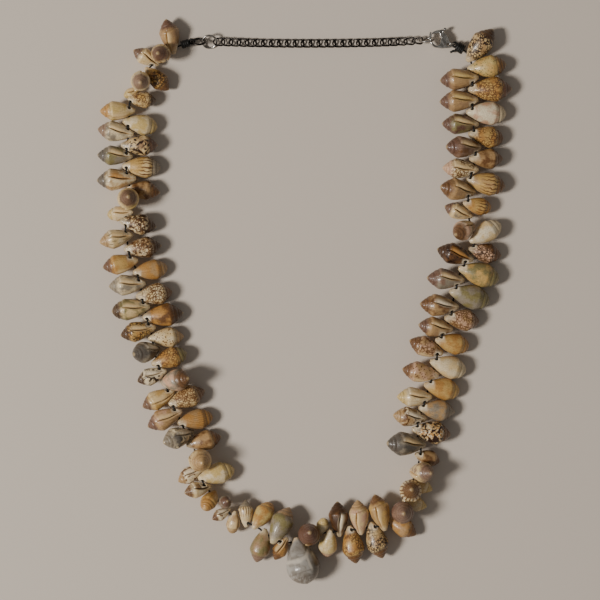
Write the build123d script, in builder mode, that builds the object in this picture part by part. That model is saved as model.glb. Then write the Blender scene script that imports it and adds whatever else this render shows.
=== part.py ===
from build123d import *

import os
from collections import namedtuple
from math import acos, ceil, cos, radians, sin, tan

import numpy as np

os.makedirs("parts", exist_ok=True)

# Shell necklace, closed and lying flat: +X right, +Y towards the chain, +Z up, millimetres.
# About a hundred drilled dove shells lie on a thin cord, by turns to one side and to the other.
# The ends of the cord are knotted to rings, a curb chain and a lobster clasp.

# Dove shells
shell_length = 16.0
shell_width = 8.7
aperture_width = 1.1
hole_inset_upper = 1.9      # hole to narrow end, shells that lie with the aperture down
hole_inset_lower = 2.7      # the same, shells that lie under them with the aperture up
shell_gap = 0.5             # clear space kept between neighbours
hole_shift = 0.4            # how far a hole may be drilled off the axis, and along it
bore_slide = 0.5            # how far a shell may slide along the cord
hole_pitch = 0.483 * shell_width

# Pendant shell
pendant_length = 18.0
pendant_width = 12.2
pendant_aperture_width = 1.6

# Cord
cord_diameter = 0.9
bore_clearance = 0.2        # all round the cord in a shell's hole
string_height = 6.2         # middle of the cord above the floor
end_height = 3.0            # the same at the first and last shells
end_shells = 3              # shells over which the cord comes down to its ends
zigzag_rise = 1.95          # how far the cord climbs and dips between two holes
end_zigzag = 0.4            # share of it that is left at the first and last shells
bend_reach = 0.8            # length of each run of cord given to the bend at its end
bend_margin = 0.05          # how near the next run may come before a shell is drilled for it too
upright_from = 0.5          # rise of a shell, as a sine, from which its hole lies lower
upright_to = 0.86
upright_drop = 0.38         # by how much, as a share of the height

# Knots
knot_diameter_left = 3.0
knot_diameter_right = 3.8
knot_length_left = 3.2
knot_length_right = 3.0
knot_wraps = 4
knot_seat = 0.8             # how far the cord runs into a knot
knot_clearance = 0.12
loop_wire = 0.8             # cord of the loop that holds a knot to its ring
loop_root = 0.35            # how deep the loop is rooted in the knot
tail_length = 4.2           # from the middle of the right knot to the cut end
tail_heading = 202
tail_drop = 12

# Rings
ring_clearance = 0.18       # between wires that hold each other
ring_play = 0.1
knot_ring_diameter = 5.9
knot_ring_wire = 0.8
knot_ring_tilt = -58
chain_ring_diameter = 6.2
chain_ring_wire = 0.8
chain_ring_tilt = 35
hook_ring_diameter = 5.8
hook_ring_wire = 0.7
hook_ring_tilt = -70
hook_ring_heading = 6
eye_ring_diameter = 3.2
eye_ring_wire = 0.55
eye_ring_tilt = 82

# Chain
link_length = 4.9
link_width = 3.5
link_wire = 0.78
link_twist = 0.9            # height of a link's corners above and below its middle
link_corner = 1.2           # bend radius of a link
longest_pitch = 3.08
chain_turns = [-12, -25, -38]   # how far the last links are turned on edge
chain_slope = 20            # length of chain that comes down from a ring to the floor
chain_sag = 0.7             # towards the string, at mid chain
chain_path_points = 2001

# Clasp
clasp_length = 8.4
clasp_thickness = 1.8
hub_diameter = 1.9
hook_tip_width = 0.45
lever_thickness = 0.8
lever_hub_diameter = 1.6
lever_clearance = 0.15
knob_diameter = 1.1
knob_height = 1.6
knob_arm = 0.7
pin_diameter = 0.7
pin_clearance = 0.05
pin_seat_clearance = 0.02
eye_diameter = 2.5
eye_hole_diameter = 1.3
eye_thickness = 1.0
eye_shoulder = 0.25

# The chart counts steps to the right and down from a corner, with (300, 300) in the middle.
# A hole pitch is a little over eleven steps.
steps_per_pitch = 11.05
step = hole_pitch / steps_per_pitch
chart_middle = 300


def at(x, y, z=0.0):
    """Place of a chart point, z above the floor."""
    return Vector((x - chart_middle) * step, (chart_middle - y) * step, z)


# Rings of the shell wall from the narrow end to the tip of the spire.
# Height is a share of the length, radius and swell are shares of half the width.
# Swell is how far the wall that leads up to a ring bulges beyond a straight line.
Ring = namedtuple("Ring", "height radius swell")

dove_form = [
    Ring(height=0.00, radius=0.12, swell=0.00),
    Ring(height=0.10, radius=0.37, swell=0.06),
    Ring(height=0.60, radius=1.00, swell=0.12),
    Ring(height=0.72, radius=0.86, swell=0.06),
    Ring(height=0.82, radius=0.57, swell=0.07),
    Ring(height=0.91, radius=0.31, swell=0.06),
    Ring(height=1.00, radius=0.04, swell=0.04),
]

pendant_form = [
    Ring(height=0.00, radius=0.12, swell=0.00),
    Ring(height=0.10, radius=0.33, swell=0.05),
    Ring(height=0.62, radius=1.00, swell=0.14),
    Ring(height=0.80, radius=0.88, swell=0.06),
    Ring(height=0.90, radius=0.60, swell=0.06),
    Ring(height=0.96, radius=0.32, swell=0.05),
    Ring(height=1.00, radius=0.04, swell=0.04),
]

aperture_top = 0.66         # share of the length at which the aperture ends
aperture_depth = 0.85       # share of half the width
upright_within = 20         # degrees from upright at which roll is counted from the heading

# Each shell in its order on the cord: place of its hole, heading of its spire (0 is right,
# 90 is up the chart), rise of the spire above level, roll (0 is aperture down, 180 is
# aperture up) and size as a share of the full shell.
Shell = namedtuple("Shell", "x y heading rise roll share")

left_chart = [
    Shell(x=170.5, y=47, heading=92, rise=0, roll=150, share=0.86),
    Shell(x=163, y=54, heading=208, rise=58, roll=90, share=0.92),
    Shell(x=156, y=62.5, heading=160, rise=0, roll=180, share=0.82),
    Shell(x=148, y=69, heading=298, rise=-20, roll=0, share=0.86),
    Shell(x=142, y=79, heading=250, rise=80, roll=180, share=0.90),
    Shell(x=137, y=90, heading=214, rise=-15, roll=180, share=0.56),
    Shell(x=130, y=100, heading=355, rise=-18, roll=0, share=0.90),
    Shell(x=130, y=111.5, heading=182, rise=5, roll=120, share=0.84),
    Shell(x=128, y=123.5, heading=353, rise=-22, roll=0, share=0.88),
    Shell(x=129, y=135.5, heading=172, rise=0, roll=180, share=0.88),
    Shell(x=127, y=146.5, heading=4, rise=-10, roll=0, share=0.88),
    Shell(x=127, y=157, heading=179, rise=0, roll=180, share=0.84),
    Shell(x=126, y=167.5, heading=353, rise=-22, roll=0, share=0.92),
    Shell(x=128, y=178.5, heading=184, rise=0, roll=180, share=0.94),
    Shell(x=130.5, y=189, heading=355, rise=-22, roll=0, share=0.86),
    Shell(x=129, y=201.5, heading=60, rise=80, roll=180, share=0.96),
    Shell(x=127, y=212, heading=195, rise=-15, roll=180, share=0.64),
    Shell(x=125, y=223, heading=350, rise=-10, roll=0, share=0.88),
    Shell(x=127, y=236, heading=194, rise=12, roll=180, share=0.82),
    Shell(x=127.5, y=251.5, heading=6, rise=-10, roll=0, share=0.90),
    Shell(x=133, y=263.5, heading=192, rise=0, roll=100, share=0.86),
    Shell(x=138.5, y=275, heading=9, rise=-22, roll=0, share=0.86),
    Shell(x=140, y=286, heading=185, rise=0, roll=180, share=0.88),
    Shell(x=142, y=296.5, heading=10, rise=-22, roll=0, share=0.92),
    Shell(x=144, y=307.5, heading=194, rise=0, roll=180, share=0.92),
    Shell(x=147, y=318.5, heading=5, rise=-10, roll=0, share=0.98),
    Shell(x=150, y=328, heading=196, rise=0, roll=180, share=0.86),
    Shell(x=152, y=337.5, heading=356, rise=-22, roll=0, share=0.86),
    Shell(x=154, y=350.5, heading=188, rise=48, roll=180, share=0.90),
    Shell(x=157, y=363, heading=18, rise=-12, roll=0, share=0.90),
    Shell(x=161.5, y=373, heading=206, rise=0, roll=180, share=0.76),
    Shell(x=165.5, y=384, heading=6, rise=40, roll=30, share=0.94),
    Shell(x=169, y=394.5, heading=204, rise=0, roll=150, share=0.86),
    Shell(x=172.5, y=405, heading=12, rise=-20, roll=0, share=0.96),
    Shell(x=177, y=414.5, heading=203, rise=0, roll=170, share=0.90),
    Shell(x=181.5, y=424, heading=8, rise=-22, roll=0, share=0.88),
    Shell(x=187, y=434.5, heading=198, rise=35, roll=180, share=0.90),
    Shell(x=193, y=445, heading=5, rise=-22, roll=0, share=0.86),
    Shell(x=196.5, y=457.5, heading=330, rise=78, roll=180, share=0.96),
    Shell(x=199, y=469, heading=205, rise=-5, roll=180, share=0.74),
    Shell(x=201.5, y=480.5, heading=12, rise=-10, roll=0, share=0.94),
    Shell(x=207, y=490, heading=205, rise=20, roll=180, share=0.76),
    Shell(x=214, y=497.5, heading=245, rise=58, roll=90, share=0.78),
    Shell(x=220.5, y=504, heading=58, rise=52, roll=0, share=0.72),
    Shell(x=227, y=512, heading=210, rise=0, roll=180, share=0.68),
    Shell(x=234.5, y=518, heading=248, rise=-5, roll=120, share=0.74),
    Shell(x=244.5, y=524, heading=94, rise=-8, roll=0, share=0.82),
    Shell(x=254.5, y=524.5, heading=50, rise=-22, roll=0, share=0.84),
    Shell(x=262.5, y=532, heading=255, rise=-12, roll=0, share=0.86),
    Shell(x=274, y=540.5, heading=80, rise=-15, roll=0, share=0.98),
    Shell(x=284.5, y=543, heading=262, rise=-5, roll=180, share=0.62),
]

pendant_place = Shell(x=296.5, y=545, heading=284, rise=0, roll=0, share=1.0)

right_chart = [
    Shell(x=308.5, y=538.5, heading=60, rise=70, roll=180, share=0.94),
    Shell(x=319, y=534, heading=86, rise=25, roll=0, share=0.60),
    Shell(x=330.5, y=532, heading=278, rise=-18, roll=0, share=0.90),
    Shell(x=340, y=531.5, heading=97, rise=0, roll=180, share=0.84),
    Shell(x=349.5, y=530, heading=284, rise=-8, roll=0, share=0.94),
    Shell(x=361, y=529.5, heading=92, rise=5, roll=150, share=0.84),
    Shell(x=372.5, y=527.5, heading=290, rise=-8, roll=0, share=0.94),
    Shell(x=384, y=525.5, heading=108, rise=0, roll=150, share=0.90),
    Shell(x=393.5, y=523, heading=335, rise=-18, roll=0, share=0.82),
    Shell(x=402, y=513, heading=60, rise=80, roll=180, share=0.94),
    Shell(x=406, y=504, heading=340, rise=-15, roll=0, share=0.62),
    Shell(x=409.5, y=494.5, heading=90, rise=80, roll=180, share=1.00),
    Shell(x=412.5, y=484, heading=345, rise=-15, roll=0, share=0.66),
    Shell(x=415.5, y=472, heading=10, rise=56, roll=180, share=0.96),
    Shell(x=421.5, y=458, heading=322, rise=-22, roll=0, share=0.78),
    Shell(x=420, y=444, heading=183, rise=22, roll=180, share=1.02),
    Shell(x=415, y=430.5, heading=341, rise=-12, roll=0, share=1.02),
    Shell(x=419, y=419.5, heading=172, rise=10, roll=180, share=0.88),
    Shell(x=422.5, y=408.5, heading=352, rise=-22, roll=0, share=0.92),
    Shell(x=426, y=397.5, heading=180, rise=5, roll=180, share=0.84),
    Shell(x=429, y=387, heading=341, rise=-22, roll=0, share=0.94),
    Shell(x=432.5, y=375.5, heading=168, rise=0, roll=100, share=0.88),
    Shell(x=435.5, y=364, heading=342, rise=-22, roll=0, share=0.96),
    Shell(x=437.5, y=353, heading=158, rise=0, roll=100, share=0.86),
    Shell(x=438.5, y=341.5, heading=343, rise=-22, roll=0, share=0.94),
    Shell(x=444.5, y=331, heading=176, rise=10, roll=180, share=0.90),
    Shell(x=450, y=320.5, heading=348, rise=-22, roll=0, share=0.92),
    Shell(x=452.5, y=307, heading=174, rise=8, roll=180, share=0.94),
    Shell(x=454, y=294, heading=343, rise=-20, roll=0, share=1.04),
    Shell(x=458, y=280.5, heading=174, rise=5, roll=180, share=0.90),
    Shell(x=462, y=267.5, heading=338, rise=-20, roll=0, share=1.04),
    Shell(x=467.5, y=259, heading=166, rise=0, roll=180, share=0.90),
    Shell(x=473, y=250.5, heading=0, rise=-18, roll=0, share=0.86),
    Shell(x=475.5, y=239, heading=22, rise=-15, roll=0, share=1.00),
    Shell(x=471, y=228, heading=192, rise=45, roll=180, share=0.94),
    Shell(x=468, y=217.5, heading=172, rise=0, roll=170, share=0.88),
    Shell(x=467, y=206, heading=358, rise=-20, roll=0, share=0.92),
    Shell(x=468, y=193.5, heading=180, rise=18, roll=180, share=0.96),
    Shell(x=469, y=180, heading=349, rise=-22, roll=0, share=1.00),
    Shell(x=472.5, y=170.5, heading=180, rise=0, roll=170, share=0.86),
    Shell(x=475.5, y=161, heading=0, rise=-20, roll=0, share=0.86),
    Shell(x=474.5, y=148.5, heading=180, rise=22, roll=180, share=0.92),
    Shell(x=473.5, y=136, heading=347, rise=-22, roll=0, share=0.92),
    Shell(x=473, y=126, heading=186, rise=0, roll=180, share=0.90),
    Shell(x=471.5, y=115.5, heading=357, rise=-18, roll=0, share=1.02),
    Shell(x=472, y=102.5, heading=182, rise=0, roll=180, share=0.92),
    Shell(x=471.5, y=89.5, heading=1, rise=-8, roll=0, share=1.06),
    Shell(x=472.5, y=79, heading=186, rise=0, roll=180, share=0.92),
    Shell(x=472.5, y=68.5, heading=8, rise=-22, roll=0, share=0.94),
    Shell(x=471.5, y=61, heading=62, rise=-5, roll=0, share=0.98),
]


def unit(v):
    return v / np.linalg.norm(v, axis=-1, keepdims=True)


# Settling of the shells: each one hangs on the cord at its hole and leans towards its charted
# heading until it touches the floor or a neighbour. A shell is a row of balls on its axis.

ball_count = 16
first_ball = 0.04           # shares of the length
last_ball = 0.97
wall_points = 200
neighbour_reach = 9
settling_rounds = 500
floor_gap = 0.12
least_gap = 0.33            # between balls, once settled
fitting_rounds = 12
growing_rounds = 250        # the balls grow to their full size over these
growth_start = 0.6
lean_share = 0.03           # share of the way to its heading that a shell leans in a round
contact_ease = 0.5          # 1 shares a push equally among all contacts of a shell
hole_give = 0.35            # how easily a shell moves at its hole, next to its spire


def form_radius(form, heights):
    """Radius share of the wall at each height share."""
    radii = np.zeros_like(heights)
    for low, high in zip(form[:-1], form[1:]):
        part = (heights - low.height) / (high.height - low.height)
        wall = low.radius + (high.radius - low.radius) * part + 4 * high.swell * part * (1 - part)
        radii = np.where((part >= 0) & (part <= 1), wall, radii)
    return radii


def balls(form, length, width):
    """Places along the axis and radii of the balls that fill a shell."""
    along = np.linspace(first_ball, last_ball, ball_count)
    wall = np.linspace(0, 1, wall_points)
    reach = np.hypot((along[:, None] - wall) * length, form_radius(form, wall) * width / 2)
    return along * length, reach.min(axis=1)


def settle(rows, forms, lengths, widths, insets, middles, bores, posts):
    """Hole centre, axis and share of its size of each shell once it has settled.

    Posts are fixed balls. A shell that is still too close to a neighbour is a smaller one.
    """
    count = len(rows)
    heading = np.radians([row.heading for row in rows])
    rise = np.radians([row.rise for row in rows])
    aim = np.stack([np.cos(heading) * np.cos(rise), np.sin(heading) * np.cos(rise), np.sin(rise)], 1)
    filled = [balls(f, l, w) for f, l, w in zip(forms, lengths, widths)]
    along = np.array([f[0] for f in filled]) - insets[:, None]
    radius = np.array([f[1] for f in filled])
    arm = lengths - insets
    hole = middles.copy()
    axis = aim.copy()
    pairs = [(i, j) for i in range(count) for j in range(i + 1, min(count, i + neighbour_reach))]
    first = np.array([p[0] for p in pairs])
    second = np.array([p[1] for p in pairs])
    for turn in range(settling_rounds):
        tip = hole + axis * arm[:, None]
        centre = hole[:, None] + axis[:, None] * along[..., None]
        share = along / arm[:, None]
        push_hole = np.zeros_like(hole)
        push_tip = np.zeros_like(hole)
        touches = np.zeros(count)
        apart = centre[first][:, :, None] - centre[second][:, None]
        distance = np.linalg.norm(apart, axis=3)
        grown = min(1, growth_start + (1 - growth_start) * turn / growing_rounds)
        depth = (radius[first][:, :, None] + radius[second][:, None]) * grown + shell_gap - distance
        flat = depth.reshape(len(pairs), -1)
        worst = flat.argmax(axis=1)
        deep = flat[np.arange(len(pairs)), worst]
        hit = np.nonzero(deep > 0)[0]
        a, b = np.unravel_index(worst[hit], (ball_count, ball_count))
        one, two = first[hit], second[hit]
        away = unit(apart[hit, a, b])
        for who, ball, sense in ((one, a, 1.0), (two, b, -1.0)):
            s = share[who, ball]
            give = (1 - s) ** 2 * hole_give + s ** 2
            size = sense * deep[hit] / 2 / give
            np.add.at(push_hole, who, (size * (1 - s) * hole_give)[:, None] * away)
            np.add.at(push_tip, who, (size * s)[:, None] * away)
            np.add.at(touches, who, 1)
        ease = np.maximum(touches, 1)[:, None] ** contact_ease
        hole += push_hole / ease
        tip += push_tip / ease
        tip += lean_share * (hole + aim * arm[:, None] - tip)
        for place, size in posts:
            centre = hole[:, None] + (tip - hole)[:, None] * share[..., None]
            gap = np.linalg.norm(centre - place, axis=2) - radius - size - shell_gap
            near = gap.argmin(axis=1)
            for who in np.nonzero(gap.min(axis=1) < 0)[0]:
                ball = near[who]
                away = unit(centre[who, ball] - place) * -gap[who, ball]
                hole[who] += away * (1 - share[who, ball]) * hole_give
                tip[who] += away
        centre = hole[:, None] + (tip - hole)[:, None] * share[..., None]
        sunk = radius + floor_gap - centre[..., 2]
        low = sunk.argmax(axis=1)
        under = np.maximum(sunk[np.arange(count), low], 0)
        s = share[np.arange(count), low]
        give = (1 - s) ** 2 * hole_give + s ** 2
        hole[:, 2] += under * (1 - s) * hole_give / give
        tip[:, 2] += under * s / give
        axis = unit(tip - hole)
        offset = hole - middles
        side = unit(np.cross(axis, bores))
        reach = (
            (offset * axis).sum(1).clip(-hole_shift, hole_shift)[:, None] * axis
            + (offset * side).sum(1).clip(-hole_shift, hole_shift)[:, None] * side
            + (offset * bores).sum(1).clip(-bore_slide, bore_slide)[:, None] * bores
        )
        hole = middles + reach
    size = np.ones(count)
    for turn in range(fitting_rounds):
        centre = hole[:, None] + axis[:, None] * (along * size[:, None])[..., None]
        wide = radius * size[:, None]
        apart = centre[first][:, :, None] - centre[second][:, None]
        both = wide[first][:, :, None] + wide[second][:, None]
        short = (both + least_gap - np.linalg.norm(apart, axis=3)).reshape(len(pairs), -1)
        worst = short.argmax(axis=1)
        short = short[np.arange(len(pairs)), worst].clip(0)
        shrink = 1 - short / 2 / both.reshape(len(pairs), -1)[np.arange(len(pairs)), worst]
        np.minimum.at(size, first, size[first] * shrink)
        np.minimum.at(size, second, size[second] * shrink)
    return hole, axis, size


def cord_course(rows, mouth_left, mouth_right):
    """Corners of the cord between the holes, and the middle and course of each hole."""
    count = len(rows)
    place = np.array([tuple(at(row.x, row.y)) for row in rows])
    rise = np.array([sin(radians(row.rise)) for row in rows])
    upright = np.interp(rise, [upright_from, upright_to], [0, 1])
    side = np.array([1 if row.roll < 90 else -1 for row in rows])
    ramp = np.clip(np.minimum(np.arange(count), np.arange(count)[::-1]) / end_shells, 0, 1)
    height = (end_height + (string_height - end_height) * ramp) * (1 - upright_drop * upright)
    between = np.maximum(upright[:-1], upright[1:])
    corners = (place[:-1] + place[1:]) / 2
    mean = (height[:-1] + height[1:]) / 2
    least = np.minimum(height[:-1], height[1:])
    lift = zigzag_rise * (side[:-1] - side[1:]) / 2 * np.minimum(ramp[:-1], ramp[1:]).clip(end_zigzag, 1)
    corners[:, 2] = (mean + lift) * (1 - between) + least * between
    corners = np.vstack([mouth_left, corners, mouth_right])
    middles = (corners[:-1] + corners[1:]) / 2
    bores = unit(corners[1:] - corners[:-1])
    for end in (0, -1):
        middles[end] += ((place[end] - middles[end]) * bores[end]).sum() * bores[end]
    return corners, middles, bores


def ring_plane(centre, heading, tilt):
    """Plane of a ring whose level diameter has the heading and which is tilted about it."""
    return Plane(Location(centre) * Rotation(0, 0, heading) * Rotation(tilt, 0, 0))


def ring_radius(diameter, wire):
    return (diameter - wire) / 2


# Charted places of the two rings next to the knots and of the mouth of the right knot.
Anchor = namedtuple("Anchor", "x y")
knot_ring_anchor = Anchor(x=191.6, y=42.0)
eye_ring_anchor = Anchor(x=455.3, y=45.2)
right_mouth_anchor = Anchor(x=467.6, y=53.0)

# Left end, from the knot outwards: knot ring, then the ring at the start of the chain.
knot_ring_radius = ring_radius(knot_ring_diameter, knot_ring_wire)
chain_ring_radius = ring_radius(chain_ring_diameter, chain_ring_wire)
knot_ring_height = knot_ring_radius * sin(radians(-knot_ring_tilt)) + knot_ring_wire / 2
knot_ring_left = at(*knot_ring_anchor, knot_ring_height)
knot_ring_centre = knot_ring_left + Vector(knot_ring_radius, 0, 0)
ring_hold = knot_ring_wire / 2 + chain_ring_wire / 2 + ring_clearance + ring_play
chain_ring_centre = Vector(
    knot_ring_centre.X + knot_ring_radius + chain_ring_radius - ring_hold,
    knot_ring_centre.Y,
    chain_ring_radius * sin(radians(chain_ring_tilt)) + chain_ring_wire / 2,
)
chain_start = chain_ring_centre + Vector(chain_ring_radius, 0, 0)

# Clasp in its own axes: shares of its length, +x towards the eye, +y towards the lever.
Spot = namedtuple("Spot", "x y")
pivot_spot = Spot(x=0.238, y=0.345)
eye_spot = Spot(x=0.533, y=-0.226)
knob_spot = Spot(x=0.391, y=0.475)
arm_spot = Spot(x=-0.221, y=0.012)     # inner side of the hook's arm, where its ring hangs
lever_reach = 0.446         # from the pivot to the tip of the lever
hook_top_angle = 179        # directions from the pivot to the tip of the hook
hook_end_angle = 180
hook_root_angle = 200
tip_upper = Spot(x=-0.204, y=0.310)
tip_lower = Spot(x=-0.193, y=0.232)
lever_top = [Spot(x=-0.012, y=0.417), Spot(x=0.214, y=0.438)]
lever_underside = [Spot(x=0.167, y=0.274), Spot(x=-0.012, y=0.298)]

# Edge of the body from the tip of the hook around the outside and back inside: by turns
# the middle and the end of an arc.
body_edge = [
    Spot(x=-0.330, y=0.112), Spot(x=-0.262, y=-0.155),
    Spot(x=-0.143, y=-0.304), Spot(x=0.048, y=-0.375),
    Spot(x=0.274, y=-0.398), Spot(x=0.500, y=-0.367),
    Spot(x=0.640, y=-0.226), Spot(x=0.583, y=-0.095),
    Spot(x=0.512, y=0.119), Spot(x=0.339, y=0.321),
    Spot(x=0.250, y=0.330), Spot(x=0.161, y=0.274),
    Spot(x=0.220, y=0.048), Spot(x=0.155, y=-0.202),
    Spot(x=0.060, y=-0.268), Spot(x=-0.071, y=-0.232),
    Spot(x=-0.208, y=-0.071),
]

# Right end, from the knot outwards: eye ring, clasp, then the ring on its hook.
eye_ring_radius = ring_radius(eye_ring_diameter, eye_ring_wire)
hook_ring_radius = ring_radius(hook_ring_diameter, hook_ring_wire)
clasp_height = hook_ring_radius * sin(radians(-hook_ring_tilt)) + hook_ring_wire / 2
eye_ring_right = at(*eye_ring_anchor, clasp_height)
eye_ring_centre = eye_ring_right - Vector(eye_ring_radius, 0, 0)
eye_middle = eye_ring_centre - Vector(eye_ring_radius, 0, 0)
clasp_middle = eye_middle - Vector(eye_spot.x, eye_spot.y, 0) * clasp_length


def spot(share, height=0.0):
    """Place of a spot of the clasp, height above its middle plane."""
    return clasp_middle + Vector(share.x * clasp_length, share.y * clasp_length, height)


hook_ring_reach = hook_ring_radius - hook_ring_wire / 2 - ring_clearance
arm_half = clasp_thickness / 2
hook_ring_course = Vector(cos(radians(hook_ring_heading)), sin(radians(hook_ring_heading)), 0)
hook_arm_inside = spot(arm_spot)
hook_ring_centre = hook_arm_inside - hook_ring_course * (hook_ring_reach**2 - arm_half**2) ** 0.5
hook_ring_left = hook_ring_centre - hook_ring_course * hook_ring_radius

mouth_right = at(*right_mouth_anchor, end_height)
rows = left_chart + [pendant_place] + right_chart
pendant_index = len(left_chart)
forms = [dove_form] * len(rows)
forms[pendant_index] = pendant_form
lengths = np.array([shell_length * row.share for row in rows])
widths = np.array([shell_width * row.share for row in rows])
slots = np.array([aperture_width * row.share for row in rows])
lengths[pendant_index] = pendant_length
widths[pendant_index] = pendant_width
slots[pendant_index] = pendant_aperture_width
insets = np.array([hole_inset_upper if row.roll < 90 else hole_inset_lower for row in rows])
corners, middles, bores = cord_course(rows, tuple(knot_ring_left), tuple(mouth_right))


def seat(ring_spot, ring_wire, length, mouth):
    """Front of a knot, its course and the end of the cord inside it."""
    course = (mouth - ring_spot).normalized()
    front = ring_spot + course * (ring_wire / 2 + ring_clearance + loop_wire - loop_root)
    return front, course, front + course * (length - knot_seat)


front_left, course_left, cord_start = seat(
    knot_ring_left, knot_ring_wire, knot_length_left, Vector(*corners[1])
)
front_right, course_right, cord_finish = seat(
    eye_ring_right, eye_ring_wire, knot_length_right, mouth_right
)
post_shares = (0.3, 0.7)    # places of the posts along a knot
posts = [
    (np.array(tuple(front + course * length * share)), diameter / 2)
    for front, course, length, diameter in (
        (front_left, course_left, knot_length_left, knot_diameter_left),
        (front_right, course_right, knot_length_right, knot_diameter_right),
    )
    for share in post_shares
]
holes, axes, fits = settle(rows, forms, lengths, widths, insets, middles, bores, posts)
lengths, widths, slots, insets = (sizes * fits for sizes in (lengths, widths, slots, insets))
route = np.vstack([tuple(cord_start), corners[1:-1], tuple(mouth_right), tuple(cord_finish)])


def bend_radii(points):
    """Radius at each corner that leaves the reach of a bend on both sides."""
    runs = unit(points[1:] - points[:-1])
    turns = [acos(float(np.clip(one @ two, -1, 1))) for one, two in zip(runs[:-1], runs[1:])]
    return [bend_reach / tan(turn / 2) for turn in turns]


def crowds(index, run, points=9):
    """Whether a run of the cord beside a shell's own comes near the shell."""
    if run < 0 or run > len(route) - 2:
        return False
    share = np.linspace(0, 1, points)[:, None]
    offset = route[run] * (1 - share) + route[run + 1] * share - holes[index] + axes[index] * insets[index]
    along = offset @ axes[index]
    across = np.linalg.norm(offset - along[:, None] * axes[index], axis=1)
    height = (along / lengths[index]).clip(0, 1)
    wall = form_radius(forms[index], height) * widths[index] / 2
    beyond = np.abs(along - height * lengths[index])
    free = np.hypot((across - wall).clip(0), beyond)
    return bool((free < cord_diameter / 2 + bend_margin).any())


def shell(index):
    """Drilled shell in its place on the cord."""
    form, length, half = forms[index], lengths[index], widths[index] / 2
    axis = Vector(*axes[index])
    end = Vector(*(holes[index] - axes[index] * insets[index]))
    heading = radians(rows[index].heading)
    flat = Vector(cos(heading), sin(heading), 0)
    up = Vector(0, 0, 1) if abs(axis.Z) < cos(radians(upright_within)) else -flat
    upper = (up - axis * up.dot(axis)).normalized()
    belly = (-upper).rotate(Axis((0, 0, 0), axis), rows[index].roll)
    profile = Plane(end, x_dir=belly, z_dir=belly.cross(axis))
    mouth = Plane(end, x_dir=axis.cross(belly), z_dir=belly)
    from_run = index - 1 if crowds(index, index - 1) else index
    to_run = index + 1 if crowds(index, index + 1) else index
    passage = route[from_run : to_run + 2]
    with BuildPart() as solid:
        with BuildSketch(profile):
            with BuildLine():
                Line((0, 0), (form[0].radius * half, 0))
                for low, high in zip(form[:-1], form[1:]):
                    ThreePointArc(
                        (low.radius * half, low.height * length),
                        (
                            ((low.radius + high.radius) / 2 + high.swell) * half,
                            (low.height + high.height) / 2 * length,
                        ),
                        (high.radius * half, high.height * length),
                    )
                Line((form[-1].radius * half, length), (0, length))
                Line((0, length), (0, 0))
            make_face()
        revolve(axis=Axis(end, axis))
        with BuildSketch(mouth.offset(half * (1 - aperture_depth))):
            with Locations((0, length * aperture_top / 2)):
                Rectangle(slots[index], length * aperture_top + 2 * aperture_width)
        extrude(amount=2 * half, mode=Mode.SUBTRACT)
        with BuildLine() as bore:
            if len(passage) == 2:
                Line(*[Vector(*point) for point in passage])
            else:
                FilletPolyline([Vector(*point) for point in passage], radius=bend_radii(passage))
        with BuildSketch(Plane(bore.line @ 0, z_dir=bore.line % 0)):
            Circle(cord_diameter / 2 + bore_clearance)
        sweep(mode=Mode.SUBTRACT)
    return solid.part


shells = [shell(index) for index in range(len(rows))]

# Everything moves together until the middle of its underside is the origin.
boxes = [solid.bounding_box() for solid in shells]
left_side = min(box.min.X for box in boxes)
right_side = max(box.max.X for box in boxes)
lower_side = min(box.min.Y for box in boxes)
upper_side = max([box.max.Y for box in boxes] + [spot(knob_spot).Y + knob_diameter / 2])
underside = min([box.min.Z for box in boxes] + [0])
shift = Vector(-(left_side + right_side) / 2, -(lower_side + upper_side) / 2, -underside)
home = Location(shift)

with BuildPart() as shells_left:
    add([solid.moved(home) for solid in shells[:pendant_index]], clean=False)
shells_left.part.label = "shells_left"
export_step(shells_left.part, "parts/shells_left.step")

with BuildPart() as pendant_shell:
    add(shells[pendant_index].moved(home), clean=False)
pendant_shell.part.label = "pendant_shell"
export_step(pendant_shell.part, "parts/pendant_shell.step")

with BuildPart() as shells_right:
    add([solid.moved(home) for solid in shells[pendant_index + 1 :]], clean=False)
shells_right.part.label = "shells_right"
export_step(shells_right.part, "parts/shells_right.step")


# Cord

with BuildPart() as stringing_cord:
    with BuildLine() as course:
        FilletPolyline([Vector(*point) + shift for point in route], radius=bend_radii(route))
    with BuildSketch(Plane(course.line @ 0, z_dir=course.line % 0)):
        Circle(cord_diameter / 2)
    sweep()
stringing_cord.part.label = "stringing_cord"
export_step(stringing_cord.part, "parts/stringing_cord.step")


# Knots

def torus(plane, radius, wire):
    """Round ring in a plane."""
    with BuildPart() as solid:
        with BuildSketch(Plane(plane.origin, x_dir=plane.x_dir, z_dir=plane.y_dir)):
            with Locations((radius, 0)):
                Circle(wire / 2)
        revolve(axis=Axis(plane.origin, plane.z_dir))
    return solid.part


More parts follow.
